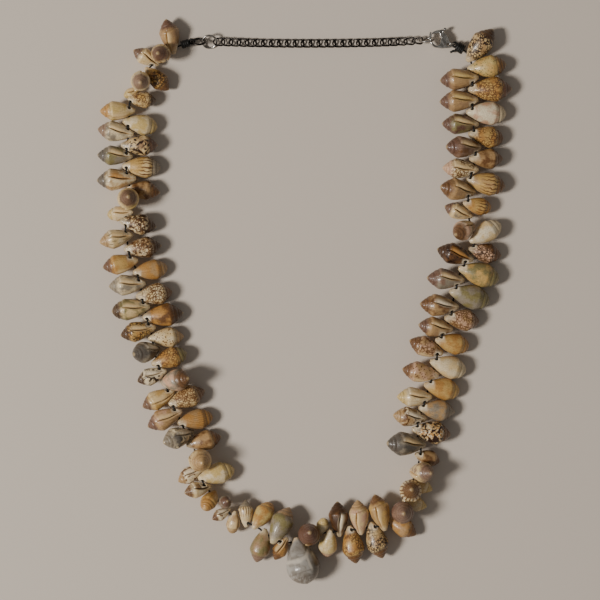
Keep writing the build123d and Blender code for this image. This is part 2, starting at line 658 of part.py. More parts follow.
def knot(front, course, diameter, length, loop_plane, ring_wire, tail_course=None):
    """Wrapped knot with a loop around a ring in front and a hole for the cord behind.

    A tail course adds the cut end of the cord, from the middle of the knot outwards.
    """
    lap = length / knot_wraps
    core = diameter / 2 - lap / 4
    loop = torus(loop_plane, ring_wire / 2 + ring_clearance + loop_wire / 2, loop_wire)
    sideways = Plane(front, z_dir=course).x_dir
    hole = Plane(front + course * length, z_dir=course * -1)
    with BuildPart() as solid:
        with BuildSketch(Plane(front, x_dir=sideways, z_dir=sideways.cross(course))):
            with BuildLine():
                Line((0, 0), (core, 0))
                for wrap in range(knot_wraps):
                    ThreePointArc(
                        (core, wrap * lap),
                        (core + lap / 4, (wrap + 0.5) * lap),
                        (core, (wrap + 1) * lap),
                    )
                Line((core, length), (0, length))
                Line((0, length), (0, 0))
            make_face()
        revolve(axis=Axis(front, course))
        add(loop)
        if tail_course is not None:
            with BuildSketch(Plane(front + course * length / 2, z_dir=tail_course)):
                Circle(cord_diameter / 2)
            extrude(amount=tail_length)
        with BuildSketch(hole):
            Circle(cord_diameter / 2 + knot_clearance)
        extrude(amount=knot_seat + knot_clearance, mode=Mode.SUBTRACT)
    return solid.part


knot_ring_plane = ring_plane(knot_ring_centre, 0, knot_ring_tilt)
chain_ring_plane = ring_plane(chain_ring_centre, 0, chain_ring_tilt)
hook_ring_plane = ring_plane(hook_ring_centre, hook_ring_heading, hook_ring_tilt)
eye_ring_plane = ring_plane(eye_ring_centre, 0, eye_ring_tilt)
loop_left = Plane(knot_ring_left, z_dir=knot_ring_plane.y_dir)
loop_right = Plane(eye_ring_right, z_dir=eye_ring_plane.y_dir)

tail_course = Vector(
    cos(radians(tail_heading)) * cos(radians(tail_drop)),
    sin(radians(tail_heading)) * cos(radians(tail_drop)),
    -sin(radians(tail_drop)),
)
knot_left = knot(
    front_left, course_left, knot_diameter_left, knot_length_left, loop_left, knot_ring_wire
)
knot_right = knot(
    front_right,
    course_right,
    knot_diameter_right,
    knot_length_right,
    loop_right,
    eye_ring_wire,
    tail_course,
)

with BuildPart() as cord_knot_left:
    add(knot_left.moved(home))
cord_knot_left.part.label = "cord_knot_left"
export_step(cord_knot_left.part, "parts/cord_knot_left.step")

with BuildPart() as cord_knot_right:
    add(knot_right.moved(home))
cord_knot_right.part.label = "cord_knot_right"
export_step(cord_knot_right.part, "parts/cord_knot_right.step")


# Rings

with BuildPart() as ring_knot_left:
    add(torus(knot_ring_plane, knot_ring_radius, knot_ring_wire).moved(home))
ring_knot_left.part.label = "ring_knot_left"
export_step(ring_knot_left.part, "parts/ring_knot_left.step")

with BuildPart() as ring_chain_left:
    add(torus(chain_ring_plane, chain_ring_radius, chain_ring_wire).moved(home))
ring_chain_left.part.label = "ring_chain_left"
export_step(ring_chain_left.part, "parts/ring_chain_left.step")

with BuildPart() as ring_hook_right:
    add(torus(hook_ring_plane, hook_ring_radius, hook_ring_wire).moved(home))
ring_hook_right.part.label = "ring_hook_right"
export_step(ring_hook_right.part, "parts/ring_hook_right.step")

with BuildPart() as ring_clasp:
    add(torus(eye_ring_plane, eye_ring_radius, eye_ring_wire).moved(home))
ring_clasp.part.label = "ring_clasp"
export_step(ring_clasp.part, "parts/ring_clasp.step")


# Chain

link_reach = (link_length - link_wire) / 2
link_side = (link_width - link_wire) / 2
with BuildPart() as link:
    with BuildLine() as bend:
        FilletPolyline(
            (link_reach, 0, 0),
            (link_reach, link_side, link_twist),
            (-link_reach, link_side, -link_twist),
            (-link_reach, 0, 0),
            radius=link_corner,
        )
    with BuildSketch(Plane(bend.line @ 0, z_dir=bend.line % 0)):
        Circle(link_wire / 2)
    sweep()
    add(link.part.rotate(Axis.Z, 180))

chain_low = link.part.bounding_box().size.Z / 2
along = np.linspace(0, 1, chain_path_points)
ends = np.array([tuple(chain_start), tuple(hook_ring_left)])
span = float(np.linalg.norm(ends[1] - ends[0]))
path = ends[0] + (ends[1] - ends[0]) * along[:, None]
path[:, 1] -= chain_sag * 4 * along * (1 - along)
from_start = (1 - along * span / chain_slope).clip(0, 1)
from_end = (1 - (1 - along) * span / chain_slope).clip(0, 1)
path[:, 2] = chain_low
path[:, 2] += (ends[0][2] - chain_low) * from_start * from_start * (3 - 2 * from_start)
path[:, 2] += (ends[1][2] - chain_low) * from_end * from_end * (3 - 2 * from_end)
distance = np.concatenate([[0], np.linalg.norm(np.diff(path, axis=0), axis=1).cumsum()])
link_count = ceil((distance[-1] + 2 * link_reach) / longest_pitch) - 1
pitch = (distance[-1] + 2 * link_reach) / (link_count + 1)

links = []
for index in range(link_count):
    place = pitch * (index + 1) - link_reach
    here = Vector(*[float(np.interp(place, distance, path[:, k])) for k in range(3)])
    back, ahead = (
        Vector(*[float(np.interp(place + offset, distance, path[:, k])) for k in range(3)])
        for offset in (-pitch / 2, pitch / 2)
    )
    course = (ahead - back).normalized()
    across = Vector(0, 0, 1).cross(course).normalized()
    turn = chain_turns[index - link_count] if index >= link_count - len(chain_turns) else 0
    stand = Plane(here, x_dir=course, z_dir=course.cross(across)).location * Rotation(turn, 0, 0)
    placed = link.part.moved(stand)
    lift = max(0, -placed.bounding_box().min.Z)
    links.append(placed.moved(Location((0, 0, lift)) * home))

with BuildPart() as extension_chain:
    add(links)
extension_chain.part.label = "extension_chain"
export_step(extension_chain.part, "parts/extension_chain.step")


# Clasp

pivot = spot(pivot_spot)
cheek_gap = lever_thickness + 2 * lever_clearance
hook_reach = lever_reach * clasp_length + lever_clearance


def from_pivot(angle, radius):
    """Place in the clasp's middle plane seen from the pivot."""
    return pivot + Vector(cos(radians(angle)), sin(radians(angle)), 0) * radius


def in_sketch(place):
    """Place in the axes of a sketch on the clasp's middle plane."""
    return (place.X - clasp_middle.X, place.Y - clasp_middle.Y)


hook_end = in_sketch(from_pivot(hook_end_angle, hook_reach))
hook_face = in_sketch(from_pivot((hook_end_angle + hook_root_angle) / 2, hook_reach))
hook_root = in_sketch(from_pivot(hook_root_angle, hook_reach))
hook_top = in_sketch(from_pivot(hook_top_angle, hook_reach + hook_tip_width))
edge = [in_sketch(spot(share)) for share in body_edge]
clasp_plane = Plane(clasp_middle + shift)
with BuildPart() as clasp_body:
    with BuildSketch(clasp_plane):
        with BuildLine():
            Line(hook_end, hook_top)
            ThreePointArc(hook_top, edge[0], edge[1])
            for middle, end in zip(range(2, 16, 2), range(3, 16, 2)):
                ThreePointArc(edge[middle - 1], edge[middle], edge[end])
            ThreePointArc(edge[15], edge[16], hook_root)
            ThreePointArc(hook_root, hook_face, hook_end)
        make_face()
        with Locations(in_sketch(pivot)):
            Circle(hub_diameter / 2)
        with Locations(in_sketch(eye_middle)):
            Circle(eye_diameter / 2)
    extrude(amount=clasp_thickness / 2, both=True)
    with BuildSketch(clasp_plane):
        with Locations(in_sketch(eye_middle)):
            Circle(eye_hole_diameter / 2)
    extrude(amount=clasp_thickness, both=True, mode=Mode.SUBTRACT)
    with BuildSketch(clasp_plane.offset(eye_thickness / 2), clasp_plane.offset(-clasp_thickness)):
        with Locations(in_sketch(eye_middle)):
            Circle(eye_diameter / 2 + eye_shoulder)
    extrude(amount=clasp_thickness - eye_thickness / 2, mode=Mode.SUBTRACT)
    with BuildSketch(clasp_plane):
        with Locations(in_sketch(pivot)):
            Circle(lever_hub_diameter / 2 + 2 * lever_clearance)
    extrude(amount=cheek_gap / 2, both=True, mode=Mode.SUBTRACT)
    with BuildSketch(clasp_plane):
        with Locations(in_sketch(pivot)):
            Circle(pin_diameter / 2 + pin_seat_clearance)
    extrude(amount=clasp_thickness, both=True, mode=Mode.SUBTRACT)
clasp_body.part.label = "clasp_body"
export_step(clasp_body.part, "parts/clasp_body.step")

with BuildPart() as clasp_pin:
    with BuildSketch(clasp_plane):
        with Locations(in_sketch(pivot)):
            Circle(pin_diameter / 2)
    extrude(amount=clasp_thickness / 2, both=True)
clasp_pin.part.label = "clasp_pin"
export_step(clasp_pin.part, "parts/clasp_pin.step")

knob = spot(knob_spot)
arm_angle = Vector(1, 0, 0).get_signed_angle(knob - pivot, Vector(0, 0, 1))
upper, lower = in_sketch(spot(tip_upper)), in_sketch(spot(tip_lower))
top = [in_sketch(spot(share)) for share in lever_top]
bottom = [in_sketch(spot(share)) for share in lever_underside]
with BuildPart() as clasp_lever:
    with BuildSketch(clasp_plane):
        with BuildLine():
            Line(lower, upper)
            ThreePointArc(upper, *top)
            Line(top[1], bottom[0])
            ThreePointArc(*bottom, lower)
        make_face()
        with Locations(in_sketch(pivot)):
            Circle(lever_hub_diameter / 2)
        with Locations(Location(Vector(*in_sketch((pivot + knob) * 0.5)), (0, 0, arm_angle))):
            Rectangle((knob - pivot).length, knob_arm)
    extrude(amount=lever_thickness / 2, both=True)
    with BuildSketch(clasp_plane):
        with Locations(in_sketch(knob)):
            Circle(knob_diameter / 2)
    extrude(amount=knob_height / 2, both=True)
    with BuildSketch(clasp_plane):
        with Locations(in_sketch(pivot)):
            Circle(pin_diameter / 2 + pin_clearance)
    extrude(amount=clasp_thickness, both=True, mode=Mode.SUBTRACT)
clasp_lever.part.label = "clasp_lever"
export_step(clasp_lever.part, "parts/clasp_lever.step")
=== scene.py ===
import math
from collections import namedtuple

import bmesh
import bpy
import numpy as np
from mathutils import Matrix, Vector


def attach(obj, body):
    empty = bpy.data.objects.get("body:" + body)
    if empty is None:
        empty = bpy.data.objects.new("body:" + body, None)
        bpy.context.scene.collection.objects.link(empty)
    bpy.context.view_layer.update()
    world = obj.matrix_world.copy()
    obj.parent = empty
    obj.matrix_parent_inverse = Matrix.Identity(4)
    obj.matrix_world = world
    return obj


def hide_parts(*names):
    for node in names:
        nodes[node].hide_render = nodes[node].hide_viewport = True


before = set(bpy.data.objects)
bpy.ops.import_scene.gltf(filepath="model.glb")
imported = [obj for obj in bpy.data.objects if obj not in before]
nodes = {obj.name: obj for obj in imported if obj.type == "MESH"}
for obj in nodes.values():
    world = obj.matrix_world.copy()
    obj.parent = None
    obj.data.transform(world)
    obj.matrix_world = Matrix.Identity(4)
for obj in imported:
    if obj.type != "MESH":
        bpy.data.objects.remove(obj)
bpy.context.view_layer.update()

# Shell necklace lying closed on a pale floor, seen from straight above.
# The frame is in metres. Shells, cord and knots are worked out in millimetres, and each shell
# in its own axes: z from the narrow end to the tip of the spire, x towards the aperture.
MM = 0.001


# Sizes that the CAD part has too

cord_diameter = 0.9
knot_seat = 0.8
knot_length_left = 3.2
knot_length_right = 3.0
aperture_floor = 0.15       # as a share of half the shell's width

# Wall of a shell from the narrow end to the tip: height as a share of the length, radius and
# swell as shares of half the width. Swell is how far the wall up to a ring bulges. Only the
# blunt form is not in the CAD part.
Ring = namedtuple("Ring", "height radius swell")
dove_form = [
    Ring(0.00, 0.12, 0.00),
    Ring(0.10, 0.37, 0.06),
    Ring(0.60, 1.00, 0.12),
    Ring(0.70, 0.92, 0.055),
    Ring(0.80, 0.69, 0.02),
    Ring(0.90, 0.42, 0.02),
    Ring(0.96, 0.23, 0.01),
    Ring(1.00, 0.03, 0.01),
]
blunt_form = dove_form[:4] + [
    Ring(0.80, 0.77, 0.03),
    Ring(0.90, 0.56, 0.03),
    Ring(0.96, 0.33, 0.02),
    Ring(1.00, 0.05, 0.01),
]
pendant_form = [
    Ring(0.00, 0.12, 0.00),
    Ring(0.10, 0.33, 0.05),
    Ring(0.62, 1.00, 0.14),
    Ring(0.80, 0.88, 0.06),
    Ring(0.90, 0.65, 0.03),
    Ring(0.96, 0.42, 0.02),
    Ring(1.00, 0.05, 0.02),
]


# Walls of shells

wall_steps = 400            # steps in the length that a wall is smoothed in
wall_smoothing = 9.0        # spread and window of the smoothing, in these steps
smoothing_window = 60
tip_start = 0.98            # above this share of the length the wall runs straight to the tip
tip_radius = 0.02
widening = 1.03             # shells are drawn this much wider than their solids


def smooth(value, low, high):
    """0 at low, 1 at high and a soft step between, on numbers or arrays."""
    part = np.clip((value - low) / (high - low), 0, 1)
    return part * part * (3 - 2 * part)


def unit(vector):
    return vector / np.linalg.norm(vector)


def wrapped(angle):
    """The same angle within half a turn of 0."""
    return (angle + np.pi) % (2 * np.pi) - np.pi


def wall_radius(form, height):
    """Radius share of the wall at each height share, with the joints of its rings smoothed."""
    share = np.linspace(0, 1, wall_steps + 1)
    radius = np.full_like(share, form[0].radius)
    for low, high in zip(form[:-1], form[1:]):
        part = (share - low.height) / (high.height - low.height)
        straight = low.radius + (high.radius - low.radius) * part
        wall = straight + 4 * high.swell * part * (1 - part)
        radius = np.where((part >= 0) & (part <= 1), wall, radius)
    window = np.arange(-smoothing_window, smoothing_window + 1)
    spread = np.exp(-(window / wall_smoothing) ** 2 / 2)
    before, after = np.full(smoothing_window, radius[0]), np.zeros(smoothing_window)
    around = np.concatenate([before, radius, after])
    radius = np.convolve(around, spread / spread.sum(), "valid")
    tip = share > tip_start
    tip_ends = [radius[round(tip_start * wall_steps)], tip_radius]
    radius[tip] = np.interp(share[tip], [tip_start, 1.0], tip_ends)
    return np.interp(height, share, radius)


# Pieces


def put(name, data):
    """New object in the scene."""
    made = bpy.data.objects.new(name, data)
    bpy.context.scene.collection.objects.link(made)
    return made


def add_piece(name, mesh, node, body, material):
    """Puts a mesh in the scene in a CAD node's place."""
    piece = put(name, mesh)
    mesh.materials.append(material)
    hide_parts(node)
    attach(piece, body)


def add_vectors(mesh, label, values):
    """Keeps a vector for each vertex, which the material reads."""
    layer = mesh.attributes.new(label, "FLOAT_VECTOR", "POINT")
    layer.data.foreach_set("vector", np.ascontiguousarray(values, np.float32).ravel())


def mesh_with(name, verts, faces, vectors):
    """Smooth mesh with a vector attribute for each name in vectors."""
    mesh = bpy.data.meshes.new(name)
    mesh.from_pydata([tuple(v) for v in verts], [], faces)
    for label, values in vectors.items():
        add_vectors(mesh, label, values)
    mesh.polygons.foreach_set("use_smooth", [True] * len(mesh.polygons))
    return mesh


# Reading the CAD solids

end_reach = 1.05            # the cord's end face lies within so many of its diameters
shortest_run = 1.2          # straight runs are longer and the steps of bends are shorter
disc_reaches = (0.06, 0.02, 0.02, 0.02)     # how near its end a shell's end disc is looked for
bore_height = 0.15          # of a shell's bore, as a share of the length


def loose_solids(node):
    """Each loose solid of a node: vertex places in millimetres, triangles and edges."""
    bm = bmesh.new()
    bm.from_mesh(nodes[node].data)
    bmesh.ops.remove_doubles(bm, verts=bm.verts, dist=1e-6)
    bmesh.ops.triangulate(bm, faces=bm.faces)
    bm.verts.index_update()
    places = np.array([v.co[:] for v in bm.verts]) / MM
    faces = np.array([[v.index for v in f.verts] for f in bm.faces])
    edges = np.array([[v.index for v in e.verts] for e in bm.edges])
    bm.free()
    owner = np.arange(len(places))
    while True:
        least = owner.copy()
        np.minimum.at(least, edges[:, 0], owner[edges[:, 1]])
        np.minimum.at(least, edges[:, 1], owner[edges[:, 0]])
        least = least[least]
        if (least == owner).all():
            break
        owner = least
    for first in np.unique(owner):
        mine = np.nonzero(owner == first)[0]
        order = np.full(len(places), -1)
        order[mine] = np.arange(len(mine))
        own_faces = order[faces[owner[faces[:, 0]] == first]]
        own_edges = order[edges[owner[edges[:, 0]] == first]]
        yield places[mine], own_faces, own_edges


def cord_runs():
    """Straight runs of the cord in their order, from the left knot round to the right one."""
    places, _, edges = next(loose_solids("stringing_cord"))
    linked = [[] for _ in places]
    for a, b in edges:
        linked[a].append(b)
        linked[b].append(a)
    start = places[np.where(places[:, 0] < 0, places[:, 1], -np.inf).argmax()]
    from_start = np.linalg.norm(places - start, axis=1)
    ring = set(np.nonzero(from_start < end_reach * cord_diameter)[0])
    met = set(ring)
    middles = []
    while ring:
        middles.append(places[list(ring)].mean(0))
        ring = {b for a in ring for b in linked[a]} - met
        met |= ring
    middles = np.array(middles)
    lengths = np.linalg.norm(np.diff(middles, axis=0), axis=1)
    return [(middles[i], middles[i + 1]) for i in np.nonzero(lengths > shortest_run)[0]]


def shell_axes(places, faces):
    """Narrow end, tip, direction of the aperture and half the width of a shell's solid."""
    middle = places.mean(0)
    one = places[np.linalg.norm(places - middle, axis=1).argmax()]
    two = places[np.linalg.norm(places - one, axis=1).argmax()]
    for reach in disc_reaches:
        axis = unit(two - one)
        along = places @ axis
        discs = [places[along < along.min() + reach], places[along > along.max() - reach]]
        one, two = (disc.mean(0) for disc in discs)
    wide = [np.linalg.norm(disc - disc.mean(0), axis=1).mean() for disc in discs]
    end, tip = (one, two) if wide[0] > wide[1] else (two, one)
    axis = unit(tip - end)
    corners = places[faces]
    normals = np.cross(corners[:, 1] - corners[:, 0], corners[:, 2] - corners[:, 0])
    area = np.linalg.norm(normals, axis=1, keepdims=True)
    normals = normals / np.maximum(area, 1e-12)
    out = ((corners.mean(1) - end) * normals).sum(1)
    from_axis = places - end - ((places - end) @ axis)[:, None] * axis
    half = np.linalg.norm(from_axis, axis=1).max()
    level = np.abs(normals @ axis) < 0.01
    flat = level & (np.abs(out / half - aperture_floor) < 0.02)
    belly = (normals * area)[flat].sum(0)
    return end, tip, unit(belly - axis * (belly @ axis)), half


runs = cord_runs()
run_starts = np.array([a for a, b in runs])
run_middles = np.array([(a + b) / 2 for a, b in runs])
run_ways = np.array([unit(b - a) for a, b in runs])


def run_through(end, axis, length):
    """Which run of the cord goes through a shell's bore."""
    crossing = np.cross(run_ways, axis)
    gap = np.abs(((end - run_starts) * crossing).sum(1)) / np.linalg.norm(crossing, axis=1)
    away = np.linalg.norm(run_middles - end - axis * length * bore_height, axis=1)
    return int((away + gap).argmin())


# Shell surfaces
#
# A shell is a grid of rows from the narrow end to the tip and of columns round it, which begin
# in the middle of the aperture and go over the outer lip to the back. Turn is the share of the
# way round. The wall grows towards turn 0, where the lip stands over the aperture.

rows_drilled = 20           # rows over the drilled end, close together
rows_body = 14              # rows from there to the top of the aperture
rows_spire = 31
drilled_share = 0.32        # where the rows of the drilled end and of the body stop
body_share = 0.62
first_row = 0.004
last_row = 0.995
slot_columns = 6            # over the aperture
side_columns = 20           # from either edge of it to the back
side_power = 1.25           # over 1 for columns that are closer together at the edge
lip_step = 0.05             # how much the wall grows in a turn, as a share of its radius
whorl_ratio = 1.72          # distance from tip to suture grows by this in a turn
suture_start = 0.315        # from the tip to the top of the lip, as a share of the length
whorl_bulge = 0.075         # as a share of half the width
pendant_bulge = 0.012
bulge_middle = 0.62         # height of a whorl's bulge that keeps the wall where it is
groove_width = 0.085        # share of a whorl
slot_half_width = 0.40      # millimetres, as are the depth and the lip's thickness
slot_depth = 1.25
slot_lean = 0.26            # radians that the top of the aperture leans to the lip
slot_widest = 0.75          # radians to either side
slot_top = 0.66
core_share = 0.12           # wall that is left under the aperture, as a share of half the width
lip_thickness = 0.26        # where half the width is the ordinary one
ordinary_half = 4.3
lip_reach = 2.2             # radians
lip_teeth = 13
bore_radius = 0.72          # millimetres
bore_margin = 1.1           # no mouth is drawn so few bore radii from the aperture's edge
bore_lowest = 0.05          # or below this share of the length
bore_steepest = 0.8         # sine of the angle up to which a mouth is drawn out longer
bore_steps = np.linspace(0, 9, 181)     # millimetres from the axis, where mouths are looked for
bore_range = (0.002, 0.6)   # shares of the length that the rings round a mouth stay in
slope_step = 0.02           # share of the length to either side that the wall's slope is from
end_hollow = 0.012          # share of the length that the narrow end is hollow

# Rings of the grid round the mouth of a bore: radius as a share of the bore's, depth in
# millimetres, how chalky the ring is and how far the grid is drawn to it.
BoreRing = namedtuple("BoreRing", "radius depth chalk weight")
bore_rings = [
    BoreRing(0.00, 1.50, 0.000, 1.00),
    BoreRing(0.80, 1.50, 0.000, 1.00),
    BoreRing(0.97, 0.50, 0.800, 1.00),
    BoreRing(1.04, 0.04, 1.000, 1.00),
    BoreRing(1.30, 0.00, 1.000, 1.00),
    BoreRing(1.65, 0.00, 0.300, 0.60),
    BoreRing(2.00, 0.00, 0.125, 0.25),
]
# Inner rings of a bore, painted dark as the shade deep in it.
shaded_rings = 2


def whorl_of(turn, height):
    """How many sutures lie between a place and the lip: under 0 on the spire."""
    from_tip = np.maximum(1 - height, 1e-4)
    return np.log(from_tip / suture_start) / math.log(whorl_ratio) + turn


def lean_of(height):
    """Angle of the middle of the aperture, which leans to the lip near its top."""
    return slot_lean * (smooth(height, 0.28, 0.68) - 0.35 * smooth(height, 0.3, 0.0))


def turn_of(angle, height):
    """Share of the way round from the middle of the aperture."""
    return (angle - lean_of(height)) / (2 * np.pi) % 1


def shell_wall(form, half, turn, height):
    """Radius of the outside, without aperture and bores, and how much painted shade a suture lays
    on it.
    """
    radius = wall_radius(form, height)
    whorl = whorl_of(turn, height)
    part = whorl - np.floor(whorl)
    bulge = np.sin(np.pi * part ** 0.8) ** 0.75
    spire = smooth(whorl, 0.25, 0.0)
    below = np.exp(-np.maximum(whorl, 0) / groove_width)
    # Closeness to a suture, which the material paints darker as the shade in its groove.
    suture_shade = np.where(whorl < 0, np.exp(-np.minimum(part, 1 - part) / groove_width), below)
    lift = np.where(whorl < 0, bulge - bulge_middle, -bulge_middle * below)
    lift *= pendant_bulge if form is pendant_form else whorl_bulge
    grown = 1 + lip_step * (0.5 - turn) * (1 - spire)
    tip_room = smooth(1 - height, 0.0, 0.06)
    room = np.clip(radius * 1.6, 0, 1)
    return half * (radius * grown + lift * tip_room * room), suture_shade * tip_room


def shell_rows():
    """Height of each row of the grid, as a share of the length."""
    drilled = np.linspace(first_row, drilled_share, rows_drilled, endpoint=False)
    body = np.linspace(drilled_share, body_share, rows_body, endpoint=False)
    spire = np.linspace(body_share, 1, rows_spire)[:-1]
    return np.concatenate([[0.0], drilled, body, spire, [last_row, 1.0]])


def shell_columns():
    """Place of each column: up to 1 in the aperture, from 2 to 3 on the way to the back."""
    side = np.linspace(0, 1, side_columns) ** side_power
    slot = np.linspace(-1, 1, slot_columns + 1)
    columns = np.concatenate([slot[slot_columns // 2:], 2 + side[1:-1]])
    return np.concatenate([columns, -columns[1:][::-1]])


def slot_edge(height, reach):
    """Angle between the middle and the edge of the aperture in each row."""
    edge = np.minimum(slot_half_width / np.maximum(reach, 0.2), slot_widest)
    edge = np.where(height > slot_top, np.interp(slot_top, height, edge), edge)
    return edge * (0.5 + 0.5 * smooth(height, 0.02, 0.3) * smooth(height, 0.68, 0.5))


def ridge(value, middle, spread):
    return np.exp(-((value - middle) / spread) ** 2)


def aperture_relief(height, off, from_edge):
    """How deep each place lies in the aperture, how high on its lip, and how much lip colour and
    painted shade it takes.
    """
    open_here = smooth(height, 0.70, 0.64)
    sunk = smooth(from_edge, 0.04, -0.26) * open_here
    sunk = sunk * (0.35 + 0.65 * smooth(height, 0.05, 0.25))
    lip_side = (off > 0) & (off < lip_reach)
    lip_here = smooth(height, 0.76, 0.52) * (0.3 + 0.7 * smooth(height, 0.04, 0.34))
    lip = ridge(from_edge, 0.6, 0.55) * lip_side
    teeth = ridge(from_edge, 0.12, 0.2) * lip_side * 0.4
    teeth = teeth * np.sin(2 * np.pi * lip_teeth * height)
    callus = ridge(from_edge, 0.25, 0.35) * ~lip_side * 0.4
    lift = (lip + callus + teeth * open_here) * lip_thickness * lip_here
    wide = np.where(lip_side, 1.3, 0.3) * (0.25 + 0.75 * smooth(height, 0.08, 0.5))
    edge = ridge(np.maximum(from_edge - 0.5 * wide, 0), 0, 0.9 * wide)
    edge = edge * np.where(lip_side, 0.6, 0.35)
    # The last mark is the lip's colour at its edge and painted shade where the aperture is deep.
    return sunk, lift, np.maximum(sunk, edge * lip_here)


def circle_of(column, row):
    """Direction and ring of a grid place once squares of the grid are drawn into circles."""
    ring = max(abs(column), abs(row))
    if ring == 0:
        return Vector((0.0, 0.0)), 0
    x, y = column / ring, row / ring
    if abs(x) >= abs(y):
        angle = math.pi / 4 * y / x + (math.pi if x < 0 else 0)
    else:
        angle = math.pi / 2 - math.pi / 4 * x / y + (math.pi if y < 0 else 0)
    return Vector((math.cos(angle), math.sin(angle))), ring


class Shell:
    """Grid of one shell in its own axes, with the marks that its material shows."""

    def __init__(self, form, half, length):
        self.form, self.half, self.length = form, half, length
        self.height = shell_rows()
        self.reach = wall_radius(form, self.height) * half
        self.opening = slot_edge(self.height, self.reach)
        edge = self.opening[:, None]
        columns = shell_columns()[None, :]
        size = np.abs(columns)
        off = np.where(size <= 1, size * edge, edge + (size - 2) * (np.pi - edge))
        off = np.sign(columns) * off
        tall = np.broadcast_to(self.height[:, None], off.shape)
        self.angle = off + lean_of(tall)
        wall, self.suture_shade = shell_wall(form, half, turn_of(self.angle, tall), tall)
        from_edge = (np.abs(off) - edge) * self.reach[:, None]
        sunk, lift, self.mouth = aperture_relief(tall, off, from_edge)
        radius = wall + lift * half / ordinary_half
        core = np.minimum(core_share * half, radius * 0.5)
        radius = np.maximum(radius - sunk * slot_depth, core)
        self.rim = np.zeros_like(radius)
        x, y = radius * np.cos(self.angle), radius * np.sin(self.angle)
        self.places = np.stack([x, y, tall * length], 2)

    def bore_mouths(self, point, course):
        """Where a straight bore comes out of the wall, and its way out there."""
        axis_way = course[:2] @ course[:2]
        middle = point - course * (point[:2] @ course[:2] / axis_way)
        for sense in (-1, 1):
            places = middle + course * sense * bore_steps[:, None]
            height = np.clip(places[:, 2] / self.length, 0, 1)
            turn = turn_of(np.arctan2(places[:, 1], places[:, 0]), height)
            wall, _ = shell_wall(self.form, self.half, turn, height)
            outside = np.hypot(places[:, 0], places[:, 1]) > wall
            if outside.any():
                yield places[outside.argmax()], course * sense

    def draw_bore(self, spot, way):
        """Draws the grid round the mouth of a bore into rings and sinks the inner ones."""
        spot_angle, spot_reach = math.atan2(spot[1], spot[0]), math.hypot(spot[0], spot[1])
        spot_height = spot[2] / self.length
        edge = float(np.interp(spot_height, self.height, self.opening))
        from_edge = (abs(wrapped(spot_angle - lean_of(spot_height))) - edge) * spot_reach
        if from_edge < bore_radius * bore_margin or spot_height < bore_lowest:
            return
        row = int(np.abs(self.height - spot_height).argmin())
        column = int(np.abs(wrapped(self.angle[row] - spot_angle)).argmin())
        around = np.array([-math.sin(spot_angle), math.cos(spot_angle), 0])
        outward = np.array([math.cos(spot_angle), math.sin(spot_angle), 0])
        above = np.interp(spot_height + slope_step, self.height, self.reach)
        below = np.interp(spot_height - slope_step, self.height, self.reach)
        rise = np.array([0, 0, 2 * slope_step * self.length])
        up = unit(rise + (above - below) * outward)
        lean = np.array([way @ around, way @ up])
        tilt = min(math.hypot(*lean), bore_steepest)
        stretch = 1 / math.sqrt(1 - tilt * tilt) - 1
        lean = lean / max(math.hypot(*lean), 1e-6)
        rings = len(bore_rings) - 1
        rows, count = self.angle.shape
        for i in range(max(row - rings, 1), min(row + rings + 1, rows - 4)):
            for j in range(column - rings, column + rings + 1):
                toward, ring = circle_of(j - column, i - row)
                share, depth, chalk, weight = bore_rings[ring]
                flat = np.array(toward) * share * bore_radius
                flat = flat + lean * (lean @ flat) * stretch
                k = j % count
                own = self.places[i, k].copy()
                angle = math.atan2(own[1], own[0])
                angle = angle + wrapped(spot_angle + flat[0] / spot_reach - angle) * weight
                height = np.clip(spot_height + flat[1] * up[2] / self.length, *bore_range)
                height = own[2] / self.length * (1 - weight) + height * weight
                wall, _ = shell_wall(self.form, self.half, turn_of(angle, height), height)
                reach = math.hypot(*own[:2]) * (1 - weight) + wall * weight
                new = [reach * math.cos(angle), reach * math.sin(angle), height * self.length]
                self.places[i, k] = np.array(new) - way * depth
                self.rim[i, k] = chalk
                # The inner rings take the painted shade of the bore.
                self.mouth[i, k] = 1.0 if ring < shaded_rings else self.mouth[i, k] * (1 - weight)
                self.suture_shade[i, k] *= 1 - weight

    def mesh(self, name):
        """Mesh of the grid and its two ends, with its skin and marks attributes."""
        rows, count = self.angle.shape
        ends = [(0.0, 0.0, end_hollow * self.length), (0.0, 0.0, self.length)]
        verts = [tuple(p) for p in self.places.reshape(-1, 3)] + ends
        low, high = rows * count, rows * count + 1
        top = (rows - 1) * count
        faces = []
        for start in range(0, top, count):
            for j in range(count):
                k = (j + 1) % count
                faces.append((start + j, start + k, start + count + k, start + count + j))
        for j in range(count):
            k = (j + 1) % count
            faces.append((low, k, j))
            faces.append((high, top + j, top + k))
        # Marks: chalk, lip colour with painted shade deep inside, and painted shade at the
        # sutures.
        marks = np.stack([self.rim, self.mouth, self.suture_shade], 2).reshape(-1, 3)
        marks = np.vstack([marks, [0, 1, 0], [0, 0, 0]])
        return mesh_with(name, verts, faces, {"skin": np.array(verts), "marks": marks})


# Materials


def linear(red, green, blue):
    """Scene colour of a display colour given from 0 to 255."""
    parts = (c / 255 for c in (red, green, blue))
    return (*(c / 12.92 if c < 0.04 else ((c + 0.055) / 1.055) ** 2.4 for c in parts), 1.0)


